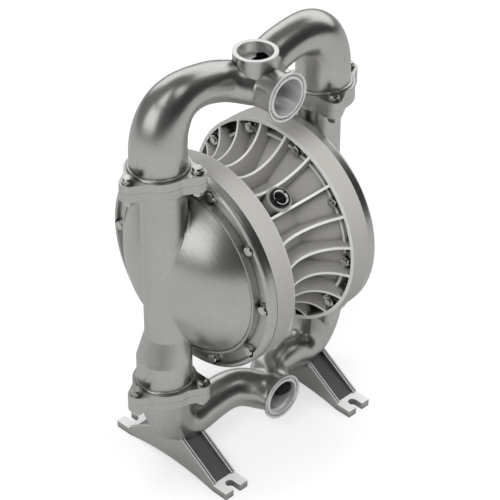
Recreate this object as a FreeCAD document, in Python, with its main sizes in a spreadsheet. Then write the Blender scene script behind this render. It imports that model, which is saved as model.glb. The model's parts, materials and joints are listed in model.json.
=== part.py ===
import FreeCAD, Part
import math
import os

import Sketcher

# Air operated diaphragm pump: cast stainless wet end on a finned moulded centre section.
# X runs along the diaphragm shaft, -Y is the side that the ports face, +Z is up,
# and the origin lies on the floor under the middle of the shaft.
# Each piece is drawn about the shaft's centre line and lifted by its Placement.

os.makedirs("parts", exist_ok=True)
doc = FreeCAD.newDocument("diaphragm_pump")
Vector = FreeCAD.Vector
Rotation = FreeCAD.Rotation
Placement = FreeCAD.Placement

# Driving dimensions in millimetres, counts and degrees
SIZES = {
    "axis_height": (300, "floor to the shaft's centre line"),
    "running_clearance": (0.05, "radial gap of a shaft, spool or bush in its bore"),
    "seat_clearance": (0.3, "gap of a loose or soft piece in its seat"),
    # Centre section
    "ring_radius": (143, "outside of the two end rings"),
    "ring_outer_x": (83, "clamping face of an end ring"),
    "ring_inner_x": (53, "inner edge of an end ring"),
    "rim_wall": (4.8, "wall of an end ring"),
    "web_thickness": (11, "bolted web of an end ring"),
    "strip_radius": (119.5, "inner wall of the ring's pockets"),
    "strip_wall": (4, "wall between the pockets and the fins' cells"),
    "strip_depth": (12, "height of that wall above the web"),
    "hub_radius": (78, "hub between the air chambers"),
    "hub_half_length": (46, "shaft centre to the floor of an air chamber"),
    "air_chamber_wall": (9, "dished wall between the hub and a ring"),
    "air_floor_radius": (64, "flat floor of an air chamber"),
    "fin_count": (20, "radial fins between the rings"),
    "fin_thickness": (3.5, "one fin"),
    "fin_waist_radius": (105, "fin edge half way between the rings"),
    "fin_edge_radius": (58, "arc of a fin's hollow edge"),
    "boss_radius": (17, "round bosses between the fins"),
    "boss_height_radius": (108, "shaft centre to the end of a boss"),
    "valve_angle": (54, "air valve boss, from the front towards the top"),
    "inlet_angle": (162, "air inlet boss, from the front over the top"),
    "exhaust_angle": (198, "exhaust boss, from the front over the top"),
    "air_port_radius": (9.3, "threaded air connections"),
    "air_port_depth": (26, "length of their thread"),
    "air_passage_radius": (4, "drilled air ways"),
    # Shaft, bushes and plates
    "shaft_radius": (12, "diaphragm shaft"),
    "spigot_radius": (8, "threaded end of the shaft"),
    "shaft_stroke": (15, "travel of the shaft each way"),
    "bush_wall": (4, "shaft bush"),
    "bush_length": (30, "shaft bush"),
    "shaft_seal_width": (4, "lip seal beside each bush"),
    "plate_radius": (60, "clamping plates of a diaphragm"),
    "inner_plate_thickness": (12, "plate on the air side"),
    "outer_plate_thickness": (14, "plate on the liquid side"),
    "plate_crown": (5, "rise of the plates' rounded backs"),
    # Diaphragms
    "diaphragm_thickness": (5, "moulded rubber sheet"),
    "bead_outer_radius": (121, "outside of the clamped bead's groove"),
    "clamp_radius": (110, "inside of the clamped band"),
    "roll_rise": (9, "depth of the rolling fold"),
    # Air valve and pilot
    "valve_bore_radius": (13, "bore for the air valve sleeve"),
    "valve_bore_end": (24, "shaft centre to the blind end of that bore"),
    "sleeve_wall": (3.5, "air valve sleeve"),
    "sleeve_length": (58, "air valve sleeve"),
    "spool_waist": (3, "depth of the spool's grooves"),
    "spool_length": (44, "air valve spool"),
    "plug_radius": (13.5, "black end plug of the air valve"),
    "plug_height": (5, "plug standing out of its boss"),
    "plug_rim": (4, "rim round the plug's recess"),
    "plug_recess": (3.2, "depth of that recess"),
    "plug_key_width": (3.2, "key that stands in the recess"),
    "plug_key_height": (2.2, "that key"),
    "plug_edge": (1.5, "chamfer round the plug"),
    "pilot_offset": (42, "shaft centre to the pilot spool"),
    "pilot_angle": (234, "pilot spool, from the front over the top"),
    "pilot_radius": (5, "pilot spool"),
    "pilot_wall": (3.5, "pilot sleeve"),
    "pilot_travel": (4, "travel of the pilot spool each way"),
    # Liquid chambers
    "flange_radius": (142.5, "liquid chamber flange"),
    "flange_thickness": (8.5, "bolted part of that flange"),
    "lip_rise": (5, "rounded outer lip above the bolted face"),
    "lip_width": (6.5, "outer lip"),
    "ridge_radius": (119, "ridge round the dome"),
    "ridge_rise": (10, "ridge above the bolted face"),
    "ridge_width": (3, "top of the ridge"),
    "dome_radius": (116, "base of the dome"),
    "dome_base_x": (100, "base of the dome"),
    "dome_depth": (58, "base of the dome to its crown"),
    "chamber_wall": (5, "cast wall of the dome"),
    "column_x": (136, "centre of the flow column"),
    "column_radius": (29.5, "outside of the flow column"),
    "column_bottom": (78, "lower end of the flow column, below the shaft"),
    "pipe_wall": (5.5, "cast wall of the columns and manifold necks"),
    # Collars
    "port_x": (143, "centre of the four pipe collars"),
    "neck_radius": (36, "outside of the pipe at a collar"),
    "collar_thickness": (11.5, "one collar flange"),
    "upper_joint": (160.5, "joint of the upper collars above the shaft"),
    "lower_joint": (161.5, "joint of the lower collars below the shaft"),
    "collar_bolt_radius": (49, "bolt circle of a collar"),
    "collar_bolt_count": (3, "bolts of a collar"),
    "collar_lobe_radius": (11.5, "rounded lobe round a collar bolt"),
    "collar_hub_radius": (42, "round middle of a collar"),
    "neck_bead": (3, "rounded bead where a pipe meets its collar"),
    # Check valves
    "ball_radius": (22, "check ball"),
    "ball_lift": (11, "lift of a check ball"),
    "seat_bore_radius": (17, "opening of a valve seat"),
    "seat_outer_radius": (32.5, "outside of a valve seat"),
    "seat_half_thickness": (5, "half of a valve seat"),
    "seat_chamfer": (2, "chamfer round a seat's opening"),
    "cage_rib_thickness": (4, "rib that guides a check ball"),
    "o_ring_radius": (36.6, "centre line of a collar O-ring"),
    "o_ring_section": (1.5, "section radius of a collar O-ring"),
    # Discharge manifold
    "discharge_height": (238.5, "discharge port above the shaft"),
    "discharge_reach": (76.2, "face of the discharge ferrule in front of the shaft"),
    "port_tube_radius": (26.4, "port tube, just proud of the arms"),
    "port_bore_radius": (23.75, "bore of a two inch hygienic port"),
    "ferrule_radius": (32, "two inch clamp ferrule"),
    "ferrule_thickness": (2.9, "rim of the ferrule"),
    "ferrule_cone": (3.2, "tapered back of the ferrule"),
    "gasket_groove_radius": (28.2, "gasket groove of the ferrule"),
    "gasket_groove_section": (1.5, "section radius of that groove"),
    "gauge_boss_y": (21.3, "upright port in front of the shaft"),
    "gauge_boss_radius": (28.3, "upright port"),
    "gauge_boss_top": (281, "upright port above the shaft"),
    "gauge_bore_radius": (22.6, "mouth of the upright port"),
    "gauge_bore_depth": (17, "mouth of the upright port"),
    "gauge_hole_radius": (16, "way from that mouth into the manifold"),
    "arm_wall": (3.2, "cast wall of the manifold arms"),
    # Inlet manifold
    "inlet_port_drop": (225, "inlet port below the shaft"),
    "inlet_reach": (73.5, "face of the inlet ferrule in front of the shaft"),
    "inlet_mouth_depth": (7, "full bore behind that face, up to where the arms meet"),
    # Feet
    "foot_x": (118, "middle of a foot"),
    "foot_width": (39, "foot across"),
    "foot_reach": (105.5, "tip of a foot pad from the shaft"),
    "pad_length": (24, "foot pad"),
    "pad_thickness": (10, "foot pad"),
    "leg_toe_height": (13, "ridged leg where it meets its pad"),
    "leg_top_y": (19, "leg under the inlet elbow"),
    "leg_top_height": (54, "leg under the inlet elbow"),
    "leg_wall": (6, "ridged edge of a leg"),
    "channel_depth": (9, "channel between the ridges"),
    "leg_floor": (5, "floor of that channel"),
    "arch_height": (9, "rise of the foot's arch above the floor"),
    "slot_width": (12, "open slot in a foot pad"),
    "slot_depth": (18.5, "open slot in a foot pad"),
    # Fasteners
    "bolt_radius": (4, "M8 screws"),
    "bolt_hole_radius": (4.5, "their holes"),
    "bolt_head_flats": (13, "hexagon across flats"),
    "bolt_head_height": (5.3, "hexagon head"),
    "nut_height": (6.5, "hexagon nut"),
    "washer_radius": (8, "plain washer"),
    "washer_thickness": (1.6, "plain washer"),
    "thread_end": (2.4, "screw standing out of its nut"),
    "chamber_bolt_radius": (130, "bolt circle of the liquid chambers"),
    "chamber_bolt_count": (10, "bolts of a liquid chamber"),
    "spot_face_radius": (8.6, "flat round each chamber screw, cut into the outer lip"),
    "bolt_boss_radius": (8.8, "boss under a chamber nut"),
    "bolt_boss_height": (14, "that boss above the web"),
    # Silencer
    "silencer_radius": (19, "exhaust silencer"),
    "silencer_length": (52, "exhaust silencer"),
    "silencer_thread": (20, "threaded nose of the silencer"),
    "silencer_groove": (2, "depth of its grooves"),
    "silencer_groove_count": (4, "grooves round it"),
    "silencer_shoulder": (5, "step from its collar to its body"),
    "silencer_crown": (4, "chamfer round its end"),
    "silencer_end": (6, "closed end"),
}

# Courses of the two manifold arms: X, Y and Z about the shaft, and the pipe's outer radius
DISCHARGE_COURSE = [
    (143, 0, 188, 35.7), (141.6, -0.4, 212, 34.8), (135.5, -1.2, 232, 33.2),
    (124.5, -2.2, 247.5, 31), (109.5, -2.9, 256, 28.4), (88, -3.2, 258.4, 26.2),
    (64, -3.2, 255.3, 25.7), (44, -4.2, 250, 25.7), (28, -9.3, 245.2, 25.7),
    (12.2, -22.4, 240.7, 25.7), (0, -44.5, 238.5, 25.7),
]
INLET_COURSE = [
    (142.5, 0, -181, 34.6), (140.6, 0, -200, 32.2), (135.2, -0.2, -218, 29.8),
    (126.2, -0.5, -231, 27.9), (114.2, -1.2, -238.6, 26.6), (101, -2.5, -240, 25.8),
    (87.5, -4.8, -236, 25.6), (72, -8.2, -228.6, 25.6), (54, -11.8, -222.8, 25.6),
    (36, -16.7, -221.2, 25.6), (20, -28.6, -222.4, 25.6), (8, -47.6, -223.9, 25.6),
    (0, -71.5, -225, 25.6),
]

# A cutter runs this far past what it cuts, and turned ends have this chamfer
OVERRUN = 1
END_CHAMFER = 1

sheet = doc.addObject("Spreadsheet::Sheet", "Dims")
for row, (alias, (number, meaning)) in enumerate(SIZES.items(), 1):
    sheet.set(f"A{row}", alias)
    sheet.set(f"B{row}", str(number))
    sheet.set(f"C{row}", meaning)
    sheet.setAlias(f"B{row}", alias)
doc.recompute()


class Size:
    """A number from the sheet, together with the expression that gives it."""

    def __init__(self, text, number):
        self.text = text
        self.number = float(number)

    def _with(self, other, sign, number):
        return Size(f"({self.text} {sign} {other.text})", number)

    def __add__(self, other):
        other = as_size(other)
        return self._with(other, "+", self.number + other.number)

    def __sub__(self, other):
        other = as_size(other)
        return self._with(other, "-", self.number - other.number)

    def __mul__(self, other):
        other = as_size(other)
        return self._with(other, "*", self.number * other.number)

    def __truediv__(self, other):
        other = as_size(other)
        return self._with(other, "/", self.number / other.number)

    def __radd__(self, other):
        return as_size(other) + self

    def __rsub__(self, other):
        return as_size(other) - self

    def __rmul__(self, other):
        return as_size(other) * self

    def __neg__(self):
        return self * -1

    def __float__(self):
        return self.number


def as_size(value):
    return value if isinstance(value, Size) else Size(f"({float(value)!r})", value)


def size(alias):
    return Size(f"Dims.{alias}", sheet.get(alias))


def bind(thing, prop, value):
    """Give a property its number and tie it to the sheet."""
    value = as_size(value)
    thing.setExpression(prop, value.text)


def place(thing, at, turn=None):
    """Put a piece at three sizes, turned by a rotation."""
    thing.Placement = Placement(Vector(*[float(part) for part in at]), turn or Rotation())
    for axis, part in zip("xyz", at):
        if isinstance(part, Size):
            thing.setExpression(f"Placement.Base.{axis}", part.text)


TO_X = Rotation(Vector(0, 1, 0), 90)
ABOUT_Z = Rotation(Vector(0, 0, 1), 180)
LEFT = -1
RIGHT = 1


def tilt(angle):
    """Turn +Z about the shaft to an angle counted from the front over the top."""
    return Rotation(Vector(1, 0, 0), 90 - float(angle))


def around(angle, radius, x=0):
    """A point at an angle about the shaft, counted from the front over the top."""
    turn = math.radians(float(angle))
    return (x, radius * -math.cos(turn), radius * math.sin(turn))


def bolt_angles(count, first=0):
    return [first + 360 * step / int(count) for step in range(int(count))]


# Helpers that draw

def new_body(name):
    return doc.addObject("PartDesign::Body", name)


def origin_part(body, role):
    return [part for part in body.Origin.OriginFeatures if part.Role == role][0]


def outline(body, name, plane, points, offset=None):
    """Closed outline through points (x, y), or (x, y, r) where an arc of radius r leads on.

    A positive r bulges to the right of the way along, a negative one to the left.
    """
    sketch = body.newObject("Sketcher::SketchObject", name)
    sketch.AttachmentSupport = (origin_part(body, plane), [""])
    sketch.MapMode = "FlatFace"
    if offset:
        sketch.AttachmentOffset = offset
    count = len(points)
    spots = [Vector(float(point[0]), float(point[1]), 0) for point in points]
    radii = []
    for index, point in enumerate(points):
        start = spots[index]
        end = spots[(index + 1) % count]
        if len(point) == 2:
            sketch.addGeometry(Part.LineSegment(start, end))
            continue
        radius = abs(float(point[2]))
        side = 1 if float(point[2]) > 0 else -1
        chord = end - start
        half = chord.Length / 2
        rise = radius - math.sqrt(max(radius * radius - half * half, 0))
        across = Vector(chord.y, -chord.x, 0).normalize()
        middle = (start + end) / 2 + across * (rise * side)
        sketch.addGeometry(Part.Arc(start, middle, end))
        radii.append((index, point[2] * side, turns_left(start, middle, end)))
    flipped = {index for index, radius, left in radii if not left}
    for index in range(count):
        following = (index + 1) % count
        end = 1 if index in flipped else 2
        start = 2 if following in flipped else 1
        sketch.addConstraint(Sketcher.Constraint("Coincident", index, end, following, start))
    for index, point in enumerate(points):
        start = 2 if index in flipped else 1
        for kind, part in (("DistanceX", point[0]), ("DistanceY", point[1])):
            number = sketch.addConstraint(Sketcher.Constraint(kind, -1, 1, index, start, float(part)))
            if isinstance(part, Size):
                sketch.setExpression(f"Constraints[{number}]", part.text)
    for index, radius, left in radii:
        number = sketch.addConstraint(Sketcher.Constraint("Radius", index, float(radius)))
        sketch.setExpression(f"Constraints[{number}]", as_size(radius).text)
    return sketch


def turns_left(start, middle, end):
    return (middle - start).cross(end - middle).z > 0


def revolve(body, sketch, axis="H_Axis"):
    feature = body.newObject("PartDesign::Revolution", sketch.Name + "_turned")
    feature.Profile = sketch
    feature.ReferenceAxis = (sketch, [axis])
    feature.Angle = 360
    return feature


def turned(name, points, axis="H_Axis"):
    """A piece turned about the shaft (H_Axis) or about an upright line (V_Axis)."""
    body = new_body(name)
    revolve(body, outline(body, name + "_outline", "XZ_Plane", points), axis)
    return body


def pad(body, sketch, length, middle=False):
    feature = body.newObject("PartDesign::Pad", sketch.Name + "_pad")
    feature.Profile = sketch
    bind(feature, "Length", length)
    if middle:
        feature.SideType = "Symmetric"
    return feature


def bore(body, name, radius, length, at, turn=None):
    feature = body.newObject("PartDesign::SubtractiveCylinder", name)
    bind(feature, "Radius", radius)
    bind(feature, "Height", length)
    place(feature, at, turn)
    return feature


def boss(body, name, radius, length, at, turn=None):
    feature = body.newObject("PartDesign::AdditiveCylinder", name)
    bind(feature, "Radius", radius)
    bind(feature, "Height", length)
    place(feature, at, turn)
    return feature


def round_pattern(body, name, features, count):
    pattern = body.newObject("PartDesign::PolarPattern", name)
    pattern.Originals = features
    pattern.Axis = (origin_part(body, "X_Axis"), [""])
    pattern.Angle = 360
    bind(pattern, "Occurrences", count)
    body.Tip = pattern
    return pattern


def cylinder(name, radius, length, at, turn=None):
    thing = doc.addObject("Part::Cylinder", name)
    bind(thing, "Radius", radius)
    bind(thing, "Height", length)
    place(thing, at, turn)
    return thing


def block(name, length, width, height, at, turn=None):
    thing = doc.addObject("Part::Box", name)
    bind(thing, "Length", length)
    bind(thing, "Width", width)
    bind(thing, "Height", height)
    place(thing, at, turn)
    return thing


def bead(name, ring, section, at, turn=None):
    thing = doc.addObject("Part::Torus", name)
    bind(thing, "Radius1", ring)
    bind(thing, "Radius2", section)
    place(thing, at, turn)
    return thing


def fuse(name, pieces):
    thing = doc.addObject("Part::MultiFuse", name)
    thing.Shapes = pieces
    return thing


def cut(name, piece, tools):
    thing = doc.addObject("Part::Cut", name)
    thing.Base = piece
    thing.Tool = tools[0] if len(tools) == 1 else fuse(name + "_tools", tools)
    return thing


def right_half(name, piece):
    """What of a piece lies at X > 0."""
    reach = size("port_x") * 2
    thing = doc.addObject("Part::Common", name)
    thing.Base = piece
    thing.Tool = block(name + "_space", reach, reach * 2, reach * 4, (0, -reach, -reach * 2))
    return thing


def mirror(name, piece):
    """The same piece on the other side of the middle plane."""
    thing = doc.addObject("Part::Mirroring", name)
    thing.Source = piece
    thing.Base = Vector()
    thing.Normal = Vector(1, 0, 0)
    return thing


def both_halves(name, piece):
    half = right_half(name + "_half", piece)
    return fuse(name, [half, mirror(name + "_mirrored", half)])


NODES = []


def finish(thing, label, side=RIGHT, at=(0, 0)):
    """Name a sub-part and lift it from the shaft's centre line to its place."""
    thing.Label = label
    place(thing, (at[0], at[1], size("axis_height")), ABOUT_Z if side == LEFT else None)
    NODES.append(thing)
    return thing


def finish_pair(thing, label):
    """The piece as drawn on the right, and its mirror image on the left."""
    finish(thing, label + "_right")
    left = mirror(thing.Name + "_mirrored", thing)
    left.Label = label + "_left"
    NODES.append(left)


def side_name(side):
    return "right" if side == RIGHT else "left"


# Centre section

def fin_arc_centre():
    return size("fin_waist_radius") + size("fin_edge_radius")


def fin_end_radius():
    """Radius at which a fin's hollow edge runs out, at the inner edge of the rings."""
    reach = float(size("ring_inner_x"))
    arc = float(size("fin_edge_radius"))
    root = Size(
        "sqrt(Dims.fin_edge_radius ^ 2 - Dims.ring_inner_x ^ 2)",
        math.sqrt(arc * arc - reach * reach),
    )
    return fin_arc_centre() - root


def pocket_floor():
    return size("ring_outer_x") - size("web_thickness")


def bead_seat():
    """Depth of the diaphragm's groove in each of the two clamping faces."""
    return size("diaphragm_thickness") / 2


def centre_profile():
    outer_x = size("ring_outer_x")
    radius = size("ring_radius")
    inner = size("ring_inner_x")
    rim = radius - size("rim_wall")
    floor = pocket_floor()
    strip = size("strip_radius")
    crest = floor - size("strip_depth")
    hub = size("hub_half_length")
    wall = size("air_chamber_wall")
    groove = outer_x - bead_seat()
    half = [
        (outer_x, size("bead_outer_radius")),
        (outer_x, radius),
        (inner, radius),
        (inner, rim),
        (floor, rim),
        (floor, strip + size("strip_wall")),
        (crest, strip + size("strip_wall")),
        (crest, strip),
        (floor - size("strip_wall"), strip),
        (hub - wall * 2, size("hub_radius")),
    ]
    inside = [
        (hub, bush_seat_radius()),
        (hub, size("air_floor_radius")),
        (floor, size("clamp_radius") - size("strip_wall")),
        (groove, size("clamp_radius")),
        (groove, size("bead_outer_radius")),
    ]
    mirrored = [(-x, r) for x, r in reversed(half)]
    mirrored_inside = [(-x, r) for x, r in reversed(inside)]
    return inside + half + mirrored + mirrored_inside


def bush_seat_radius():
    return size("shaft_radius") + size("bush_wall")


def make_centre_block():
    body = new_body("centre_block")
    revolve(body, outline(body, "centre_outline", "XZ_Plane", centre_profile()))
    floor = pocket_floor()
    reach = size("ring_inner_x")
    root = size("ring_radius") - size("rim_wall") / 2
    foot = floor + size("web_thickness") / 4
    base = size("hub_radius") - size("rim_wall")
    hub = size("hub_half_length") - size("air_chamber_wall") * 2
    strip = size("strip_radius")
    fin = outline(
        body,
        "fin_outline",
        "XZ_Plane",
        [
            (-hub, base),
            (hub, base),
            (floor, strip),
            (foot, strip),
            (foot, root),
            (reach, fin_end_radius(), -size("fin_edge_radius")),
            (-reach, fin_end_radius()),
            (-foot, root),
            (-foot, strip),
            (-floor, strip),
        ],
        Placement(Vector(), Rotation(Vector(1, 0, 0), 180 / float(size("fin_count")))),
    )
    one_fin = pad(body, fin, size("fin_thickness"), middle=True)
    round_pattern(body, "fins", [one_fin], size("fin_count"))
    bolts = size("chamber_bolt_radius")
    height = size("bolt_boss_height")
    for name, low in (("left", -floor - OVERRUN), ("right", floor - height)):
        nut_boss = boss(
            body, "nut_boss_" + name, size("bolt_boss_radius"), height + OVERRUN,
            around(0, bolts, low), TO_X,
        )
        round_pattern(body, "nut_bosses_" + name, [nut_boss], size("chamber_bolt_count"))
    start = size("hub_radius") - size("rim_wall")
    for name in ("valve", "inlet", "exhaust"):
        turn = size(name + "_angle")
        boss(
            body, name + "_boss", size("boss_radius"), size("boss_height_radius") - start,
            around(turn, start), tilt(turn),
        )
    span = (size("ring_outer_x") + OVERRUN) * 2
    hole = bore(
        body, "chamber_bolt_hole", size("bolt_hole_radius"), span,
        around(0, bolts, -span / 2), TO_X,
    )
    round_pattern(body, "chamber_bolt_holes", [hole], size("chamber_bolt_count"))
    valve = size("valve_angle")
    bore(
        body, "valve_bore", size("valve_bore_radius"),
        size("boss_height_radius") + OVERRUN - size("valve_bore_end"),
        around(valve, size("valve_bore_end")), tilt(valve),
    )
    for name in ("inlet", "exhaust"):
        turn = size(name + "_angle")
        mouth = size("boss_height_radius") - size("air_port_depth")
        bore(
            body, name + "_thread", size("air_port_radius"), size("air_port_depth") + OVERRUN,
            around(turn, mouth), tilt(turn),
        )
    air_ways(body)
    length = size("hub_half_length") * 2
    bore(
        body, "pilot_bore", size("pilot_radius") + size("pilot_wall"), length + 2 * OVERRUN,
        around(size("pilot_angle"), size("pilot_offset"), -length / 2 - OVERRUN), TO_X,
    )
    finish(body, "centre_block")


def air_ways(body):
    """Drilled ways: valve to both air chambers, and valve to the inlet and exhaust."""
    radius = size("air_passage_radius")
    valve = size("valve_angle")
    level = size("air_floor_radius") - size("air_passage_radius") * 2
    length = (size("hub_half_length") + OVERRUN) * 2
    bore(body, "chamber_way", radius, length, around(valve, level, -length / 2), TO_X)
    for name, drop in (("inlet", 0), ("exhaust", 1)):
        mouth = size("boss_height_radius") - size("air_port_depth") + 2
        start = Vector(*[float(part) for part in around(size(name + "_angle"), mouth)])
        target = Vector(*[float(part) for part in around(valve, level + drop * radius * 2)])
        way = target - start
        feature = body.newObject("PartDesign::SubtractiveCylinder", name + "_way")
        bind(feature, "Radius", radius)
        feature.Height = way.Length
        feature.Placement = Placement(start, Rotation(Vector(0, 0, 1), way))


# Air valve, pilot and silencer

def make_air_valve():
    angle = size("valve_angle")
    inner = size("valve_bore_end")
    outside = size("valve_bore_radius") - size("running_clearance")
    inside = size("valve_bore_radius") - size("sleeve_wall")
    length = size("sleeve_length")
    groove = size("sleeve_wall") / 3
    land = length / 7
    steps = []
    for index in range(7):
        radius = outside - groove if index % 2 else outside
        steps += [(radius, land * index), (radius, land * (index + 1))]
    sleeve = turned("sleeve", [(inside, 0)] + steps + [(inside, length)], "V_Axis")
    seat_radially(sleeve, "air_valve_sleeve", angle, inner)
    spool_radius = inside - size("running_clearance")
    spool_length = size("spool_length")
    waist = spool_radius - size("spool_waist")
    land = spool_length / 5
    steps = []
    for index in range(5):
        radius = waist if index % 2 else spool_radius
        steps += [(radius, land * index), (radius, land * (index + 1))]
    spool = turned("spool", [(0, 0)] + steps + [(0, spool_length)], "V_Axis")
    seat_radially(spool, "air_valve_spool", angle, inner + size("seat_clearance"))
    make_valve_plug(angle, inner + length)


def seat_radially(thing, label, angle, radius):
    """Stand a piece that was turned about +Z on a line through the shaft."""
    x, y, z = around(angle, radius)
    thing.Label = label
    place(thing, (x, y, z + size("axis_height")), tilt(angle))
    NODES.append(thing)


def make_valve_plug(angle, inner):
    radius = size("valve_bore_radius") - size("running_clearance")
    top = size("boss_height_radius") - inner
    head = size("plug_radius")
    rise = size("plug_height")
    recess = head - size("plug_rim")
    edge = size("plug_edge")
    crest = top + rise
    floor = crest - size("plug_recess")
    body = turned(
        "plug",
        [
            (0, 0), (radius, 0), (radius, top), (head, top), (head, crest - edge),
            (head - edge, crest), (recess, crest), (recess - edge / 2, floor), (0, floor),
        ],
        "V_Axis",
    )
    long_half = recess * 0.6
    short_half = size("plug_key_width") / 2
    key = outline(
        body, "plug_key", "XY_Plane",
        [
            (-long_half, -short_half), (long_half, -short_half),
            (long_half, short_half), (-long_half, short_half),
        ],
        Placement(Vector(0, 0, float(floor)), Rotation()),
    )
    pad(body, key, size("plug_key_height"))
    seat_radially(body, "air_valve_plug", angle, inner)


def make_pilot():
    angle = size("pilot_angle")
    offset = size("pilot_offset")
    radius = size("pilot_radius")
    outer = radius + size("pilot_wall") - size("running_clearance")
    half = size("hub_half_length")
    sleeve = turned(
        "pilot_sleeve",
        [(-half, radius), (half, radius), (half, outer), (-half, outer)],
    )
    x, y, z = around(angle, offset)
    finish(sleeve, "pilot_sleeve")
    place(sleeve, (x, y, z + size("axis_height")))
    # The pilot spool is just reached by an air side plate at each end of the stroke
    plate_face = inner_plate_face()
    reach = plate_face - size("shaft_stroke") + size("pilot_travel") - size("seat_clearance")
    pin = radius - size("running_clearance")
    waist = pin - size("spool_waist") / 2
    tip = END_CHAMFER
    spool = turned(
        "pilot_pin",
        [
            (-reach, 0), (-reach, pin - tip), (-reach + tip, pin), (-half / 2, pin),
            (-half / 2, waist), (-half / 4, waist), (-half / 4, pin), (half / 4, pin),
            (half / 4, waist), (half / 2, waist), (half / 2, pin), (reach - tip, pin),
            (reach, pin - tip), (reach, 0),
        ],
    )
    finish(spool, "pilot_spool")
    place(spool, (x, y, z + size("axis_height")))


def make_silencer():
    angle = size("exhaust_angle")
    thread = size("silencer_thread")
    nose = size("air_port_radius") - size("running_clearance")
    body_radius = size("silencer_radius")
    length = size("silencer_length")
    bore_radius = size("air_passage_radius")
    collar = length / 5
    collar_radius = body_radius - size("silencer_shoulder")
    grooves = int(size("silencer_groove_count").number)
    slot = length / (grooves * 3)
    waist = body_radius - size("silencer_groove")
    crown = size("silencer_crown")
    steps = [(body_radius, thread + collar)]
    for index in range(grooves):
        low = thread + collar + slot * (2 * index + 0.5)
        steps += [(body_radius, low), (waist, low), (waist, low + slot), (body_radius, low + slot)]
    top = thread + length
    closed = top - size("silencer_end")
    steps += [(body_radius, top - crown), (body_radius - crown, top)]
    silencer = turned(
        "silencer",
        [(bore_radius, 0), (nose, 0), (nose, thread), (collar_radius, thread),
         (collar_radius, thread + collar)]
        + steps
        + [(0, top), (0, closed), (bore_radius, closed)],
        "V_Axis",
    )
    seat_radially(silencer, "exhaust_silencer", angle, size("boss_height_radius") - thread)


# Shaft, bushes, plates and diaphragms

def rubber_x():
    """Inner face of the diaphragm, on the air side."""
    return size("ring_outer_x") - bead_seat()


def inner_plate_face():
    return rubber_x() - size("inner_plate_thickness")


def shaft_end():
    return rubber_x() + size("diaphragm_thickness") + size("outer_plate_thickness") * 0.7


def make_shaft():
    shoulder = inner_plate_face()
    radius = size("shaft_radius")
    spigot = size("spigot_radius")
    end = shaft_end()
    tip = END_CHAMFER
    shaft = turned(
        "shaft",
        [
            (-end, 0), (-end, spigot - tip), (-end + tip, spigot), (-shoulder, spigot),
            (-shoulder, radius), (shoulder, radius), (shoulder, spigot),
            (end - tip, spigot), (end, spigot - tip), (end, 0),
        ],
    )
    finish(shaft, "diaphragm_shaft")


def make_shaft_bearings(side):
    name = side_name(side)
    half = size("hub_half_length")
    seal = size("shaft_seal_width")
    outer = bush_seat_radius() - size("running_clearance")
    inner = size("shaft_radius") + size("running_clearance")
    start = half - seal - size("bush_length")
    bush = turned(
        "bush_" + name,
        [(start, inner), (half - seal, inner), (half - seal, outer), (start, outer)],
    )
    finish(bush, "shaft_bush_" + name, side)
    ring = turned(
        "seal_" + name,
        [
            (half - seal, inner), (half, inner + 0.6), (half, outer),
            (half - seal, outer),
        ],
    )
    finish(ring, "shaft_seal_" + name, side)


def make_plates(side):
    name = side_name(side)
    rubber = rubber_x()
    face = inner_plate_face()
    hole = size("spigot_radius") + size("running_clearance")
    radius = size("plate_radius")
    crown = size("plate_crown")
    edge = rubber - size("inner_plate_thickness") + crown
    inner = turned(
        "inner_plate_" + name,
        [
            (face, hole), (rubber, hole), (rubber, radius), (rubber - 2, radius),
            (edge, radius - crown), (face, radius / 2),
        ],
    )
    finish(inner, "inner_plate_" + name, side)
    back = rubber + size("diaphragm_thickness")
    top = back + size("outer_plate_thickness")
    end = shaft_end() + size("running_clearance")
    outer = turned(
        "outer_plate_" + name,
        [
            (back, hole), (end, hole), (end, 0), (top, 0), (top, radius / 4),
            (top - crown, radius / 2), (back + 3, radius - 1), (back, radius - 3),
        ],
    )
    finish(outer, "outer_plate_" + name, side)


def make_diaphragm(side):
    name = side_name(side)
    near = rubber_x()
    far = near + size("diaphragm_thickness")
    hole = size("spigot_radius") + size("running_clearance")
    flat = size("plate_radius") + 2
    clamp = size("clamp_radius") - 2
    bead_radius = size("bead_outer_radius") - size("seat_clearance")
    span = (clamp - flat) / 2
    rise = size("roll_rise")
    arc = (span * span + rise * rise) / (rise * 2)
    rubber = turned(
        "diaphragm_" + name,
        [
            (near, hole), (far, hole), (far, flat, -(arc - size("diaphragm_thickness") / 2)),
            (far, clamp), (far, bead_radius), (near, bead_radius),
            (near, clamp, arc), (near, flat),
        ],
    )
    finish(rubber, "diaphragm_" + name, side)


# Liquid chambers

def dome_points(inset):
    """Dome, cut from a ball, from its base to the shaft's line, inset for the inner wall."""
    base = size("dome_base_x")
    radius = size("dome_radius")
    depth = size("dome_depth")
    ball = (radius * radius + depth * depth) / (depth * 2)
    arc = ball - inset
    buried = ball - depth
    rim = Size(
        f"sqrt({arc.text} ^ 2 - {buried.text} ^ 2)",
        math.sqrt(arc.number ** 2 - buried.number ** 2),
    )
    return [(base, rim, -arc), (base + depth - inset, 0)]


def chamber_outside(name):
    face = size("ring_outer_x")
    bolted = face + size("flange_thickness")
    radius = size("flange_radius")
    lip = size("lip_rise")
    width = size("lip_width")
    ridge = size("ridge_radius")
    top = bolted + size("ridge_rise")
    return turned(
        "casting_" + name,
        [
            (face, 0), (face, radius), (bolted, radius, -lip), (bolted + lip, radius - lip),
            (bolted + lip, radius - width), (bolted, radius - width - 2),
            (bolted, ridge + 1.5), (top, ridge), (top, ridge - size("ridge_width")),
        ]
        + dome_points(0),
    )


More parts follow.
